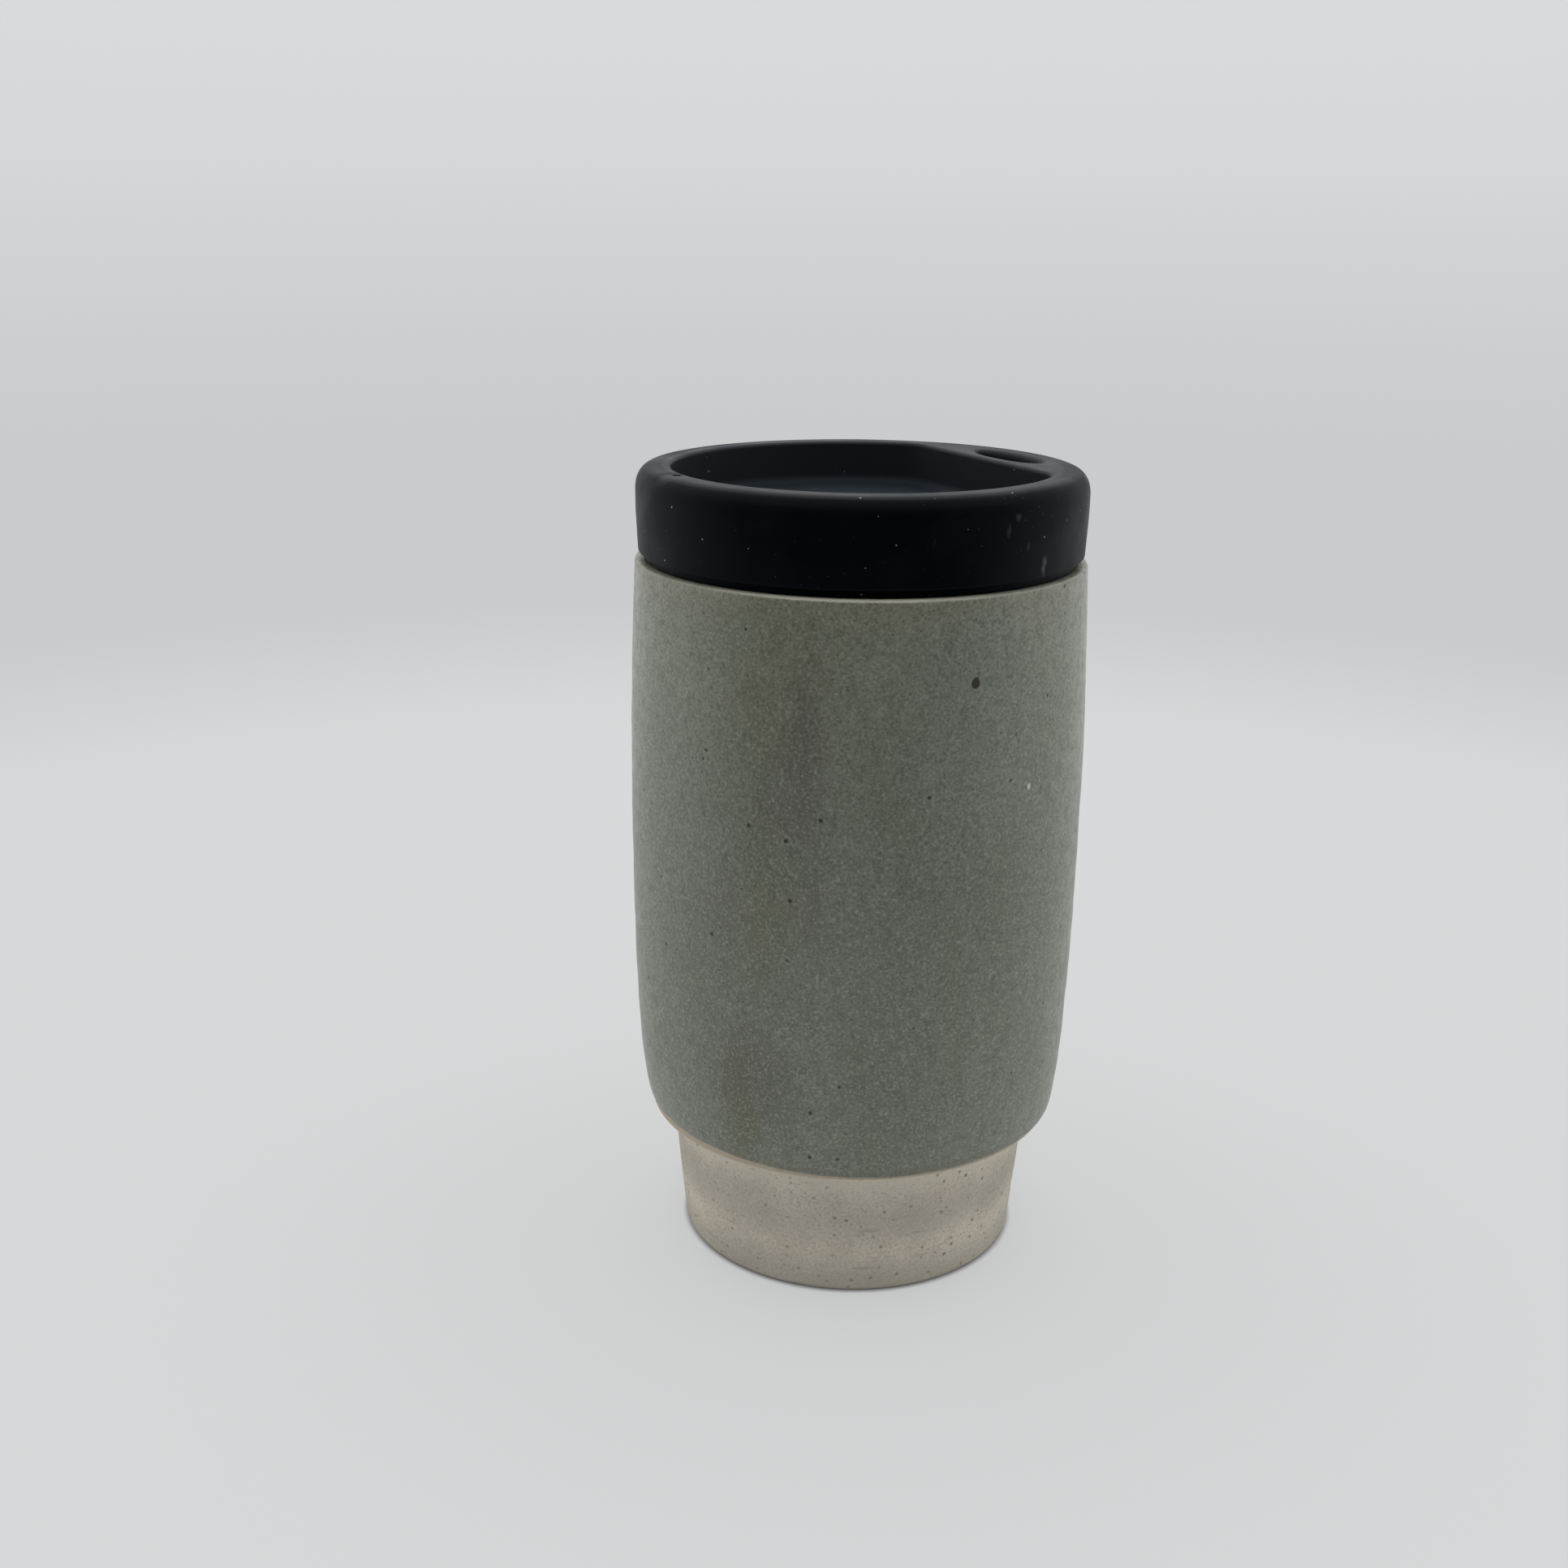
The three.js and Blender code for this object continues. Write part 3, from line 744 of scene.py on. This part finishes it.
def black_silicone():
    """Moulded silicone: deep black, matte, with a faint bloom, and the dust and lint it gathers. Its
    flat top and its dish are painted lighter as a painted sheen, and the dish's lip has a painted
    highlight.
    """
    material, tree, shader, place, height = new_material("black_silicone", 0.5, 1.41)
    dimple = spot(tree, place, (-VENT_OFFSET - 0.0006, 0, LID_TOP), 0.0085, 0.006)
    grain = cloud(tree, place, 0.0003, 2.0, 0.6)
    bloom = cloud(tree, place, 0.009, 3.0)
    rubbed = cloud(tree, squeezed(tree, place, 1.0, 2.2, (0.7, 0.2, 0.1)), 0.0035, 4.0, 0.7)
    scuff = fade(tree, rubbed, 0.66, 0.80)
    dust = specks(tree, place, 0.0026, 0.00017, 0.65, 0.3)
    motes = specks(tree, place, 0.0012, 0.00009, 0.6, 0.5)
    lint = specks(tree, squeezed(tree, place, 0.35, 1.6, (0.1, 0.3, 0)), 0.0042, 0.00010, 0.4, 0.5)
    sideways = squeezed(tree, place, 2.4, 0.5, (0.4, 0.1, 0.2))
    hairs = specks(tree, sideways, 0.0045, 0.00014, 0.35, 0.4)
    black = fade(tree, bloom, 0.35, 0.7)
    colour = tint(tree, black, (0.0012, 0.0018, 0.0032), (0.0024, 0.0034, 0.0056))
    axis = near_axis(tree, place)
    # Painted sheen: the dish's floor and wall are painted lighter.
    painted_sheen_in_dish = sum_of(
        tree, "MULTIPLY", fade(tree, axis, 0.0395, 0.0380),
        fade(tree, height, DISH_FLOOR - 0.001, DISH_FLOOR),
    )
    colour = tint(tree, painted_sheen_in_dish, colour, (0.022, 0.028, 0.034))
    # Painted sheen: the flat top of the lid is painted lighter.
    painted_sheen_on_top = fade(tree, height, LID_TOP - 0.0007, LID_TOP - 0.0001)
    colour = tint(tree, painted_sheen_on_top, colour, (0.024, 0.028, 0.031))
    # Painted highlight: a thin pale ring along the top of the dish's lip.
    painted_lip_highlight = sum_of(tree, "MULTIPLY", painted_sheen_on_top, fade(tree, axis, 0.0402, 0.0392))
    colour = tint(tree, sum_of(tree, "MULTIPLY", painted_lip_highlight, 0.7), colour, (0.060, 0.066, 0.072))
    colour = tint(tree, sum_of(tree, "MULTIPLY", scuff, 0.06), colour, (0.20, 0.21, 0.22))
    colour = tint(tree, sum_of(tree, "MULTIPLY", motes, 0.22), colour, (0.30, 0.31, 0.33))
    colour = tint(tree, sum_of(tree, "MULTIPLY", lint, 0.30), colour, (0.40, 0.41, 0.42))
    colour = tint(tree, sum_of(tree, "MULTIPLY", hairs, 0.35), colour, (0.40, 0.41, 0.42))
    colour = tint(tree, sum_of(tree, "MULTIPLY", dust, 0.85), colour, (0.62, 0.63, 0.64))
    for angle, middle, across, along, depth in (
        (-69.5, 0.1505, 0.0016, 0.0050, 0.40), (-79.7, 0.1603, 0.0016, 0.0016, 0.16),
        (-82.5, 0.1580, 0.0012, 0.0030, 0.10), (-76.0, 0.1545, 0.0010, 0.0026, 0.10),
    ):
        smudge = spot(tree, place, at(angle, middle, LID_RADIUS), across, along, 1.6)
        colour = tint(tree, sum_of(tree, "MULTIPLY", smudge, depth), colour, (0.25, 0.26, 0.28))
    handled = spot(tree, place, at(-80, 0.1595, LID_RADIUS), 0.022, 0.013, 0.6)
    crumbs = sum_of(tree, "MULTIPLY", specks(tree, place, 0.0009, 0.00013, 0.7, 0.5), handled)
    colour = tint(tree, sum_of(tree, "MULTIPLY", crumbs, 0.35), colour, (0.40, 0.41, 0.43))
    tree.links.new(colour, shader.inputs["Base Color"])
    tree.links.new(fade(tree, bloom, 0.3, 0.7, 0.42, 0.52), shader.inputs["Roughness"])
    shader.inputs["Specular IOR Level"].default_value = 0.085
    shader.inputs["Specular Tint"].default_value = (0.78, 0.92, 1.0, 1.0)
    shader.inputs["Sheen Weight"].default_value = 0.03
    shader.inputs["Sheen Roughness"].default_value = 0.3
    shader.inputs["Sheen Tint"].default_value = (0.75, 0.90, 1.0, 1.0)
    raise_surface(tree, shader, (
        (grain, 0.00001), (bloom, 0.00010), (dust, 0.00002), (dimple, -0.0006),
    ))
    return material


silicone_lid = make_piece("silicone_lid", make_lid(), black_silicone(), 40)
even = silicone_lid.modifiers.new("even_shading", "WEIGHTED_NORMAL")
even.keep_sharp = True
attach(silicone_lid, "lid")
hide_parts("lid")


# ---------------------------------------------------------------------------------------------
# The table and the backdrop: one pale seamless sweep, turned round the object so that it looks
# the same from every side. It isn't part of the tumbler.
# ---------------------------------------------------------------------------------------------

TABLE_RADIUS = 0.34
FLOOR_RADIUS = 0.70
SWEEP_RADIUS = 0.34
WALL_HEIGHT = 1.6
PAPER = 0.28                # the table paper's own reflectance; its other light shines through
TABLE_GLOW = 0.43
FAR_GLOW = 0.605
HIGH_GLOW = 0.71


def lit_paper(name):
    """White paper lit from behind, a little brighter towards the top of the backdrop, with a painted
    shadow where its glow dims under and round the foot.
    """
    material, tree, shader, place, height = new_material(name, 0.9, 1.3)
    radius = near_axis(tree, place)
    far = fade(tree, radius, 0.36, 0.70)
    # Painted shadow: the glow falls to 0.15 of itself under the foot and in a thin ring just round it.
    glow_dimmed_at_foot = fade(tree, radius, 0.0350, 0.0368, 0.15, 1.0)
    near_glow = sum_of(tree, "MULTIPLY", glow_dimmed_at_foot, TABLE_GLOW)
    far_glow = fade(tree, height, 0.04, 0.34, FAR_GLOW, HIGH_GLOW)
    glow = add_node(tree, "Mix", A=near_glow, B=far_glow, Factor=far).outputs["Result"]
    paper = tint(tree, far, (PAPER, PAPER, PAPER), (0.0, 0.0, 0.0))
    tree.links.new(paper, shader.inputs["Base Color"])
    tree.links.new(glow, shader.inputs["Emission Strength"])
    shader.inputs["Emission Color"].default_value = (0.972, 0.99, 1.0, 1.0)
    shader.inputs["Specular IOR Level"].default_value = 0.0
    return material


def make_stage():
    paper = lit_paper("lit_paper")
    table = make_piece("table_top", turned([(0, 0)] + run((0, 0), (TABLE_RADIUS, 0), 12)), paper)
    corner = (FLOOR_RADIUS + SWEEP_RADIUS, 0)
    wall_foot = (FLOOR_RADIUS + SWEEP_RADIUS, SWEEP_RADIUS)
    outline = [(TABLE_RADIUS, 0)] + run((TABLE_RADIUS, 0), (FLOOR_RADIUS, 0), 12)
    outline += bend((FLOOR_RADIUS, 0), corner, wall_foot, 24)
    outline += run(wall_foot, (wall_foot[0], WALL_HEIGHT), 4)
    backdrop = make_piece("backdrop", turned(outline), paper)
    for ray in ("visible_diffuse", "visible_glossy", "visible_transmission", "visible_shadow"):
        setattr(backdrop, ray, False)


make_stage()


# ---------------------------------------------------------------------------------------------
# Light: a soft white tent, brightest overhead, with an opening towards the viewer that stays dim.
# ---------------------------------------------------------------------------------------------

VIEW_AZIMUTH = -29.0        # degrees that the camera stands round the axis from the -Y side
OVERHEAD = 1.30
SIDES = 0.84
OPENING = 0.03


def soft_tent():
    world = bpy.data.worlds.new("soft_tent")
    bpy.context.scene.world = world
    world.use_nodes = True
    tree = world.node_tree
    tree.nodes.clear()
    around = tree.nodes.new("ShaderNodeTexCoord").outputs["Generated"]
    azimuth = math.radians(VIEW_AZIMUTH)
    facing = add_node(tree, "VectorMath", {"operation": "DOT_PRODUCT"})
    tree.links.new(around, facing.inputs[0])
    facing.inputs[1].default_value = (math.sin(azimuth), -math.cos(azimuth), 0)
    level = fade(tree, facing.outputs["Value"], -0.10, 0.75, SIDES, OPENING)
    up = fade(tree, add_node(tree, "SeparateXYZ", Vector=around).outputs["Z"], 0.40, 0.92)
    strength = add_node(tree, "Mix", A=level, B=OVERHEAD, Factor=up).outputs["Result"]
    back = add_node(tree, "Background", Color=(0.985, 0.995, 1.0, 1.0), Strength=strength)
    output = tree.nodes.new("ShaderNodeOutputWorld")
    tree.links.new(back.outputs["Background"], output.inputs["Surface"])


soft_tent()


# ---------------------------------------------------------------------------------------------
# The camera: a little above the rim, looking down on the tumbler from beside the sip hole.
# ---------------------------------------------------------------------------------------------

CAMERA_DISTANCE = 0.37268
CAMERA_HEIGHT = 0.21391
LOOK_ASIDE = -0.040
LOOK_DOWN = 0.301
ROLL = 0.010
LENS = 42.857


def place_camera():
    data = bpy.data.cameras.new("camera")
    data.sensor_width = 36.0
    data.lens = LENS
    camera = bpy.data.objects.new("camera", data)
    bpy.context.scene.collection.objects.link(camera)
    heading = Matrix.Rotation(math.radians(VIEW_AZIMUTH) - LOOK_ASIDE, 4, "Z")
    tilt = Matrix.Rotation(math.pi / 2 - LOOK_DOWN, 4, "X")
    lean = Matrix.Rotation(ROLL, 4, "Z")
    around = Matrix.Rotation(math.radians(VIEW_AZIMUTH), 4, "Z")
    stand = around @ Vector((0, -CAMERA_DISTANCE, CAMERA_HEIGHT))
    camera.matrix_world = Matrix.Translation(stand) @ heading @ tilt @ lean
    bpy.context.scene.camera = camera


place_camera()
bpy.context.scene.view_settings.view_transform = "Standard"
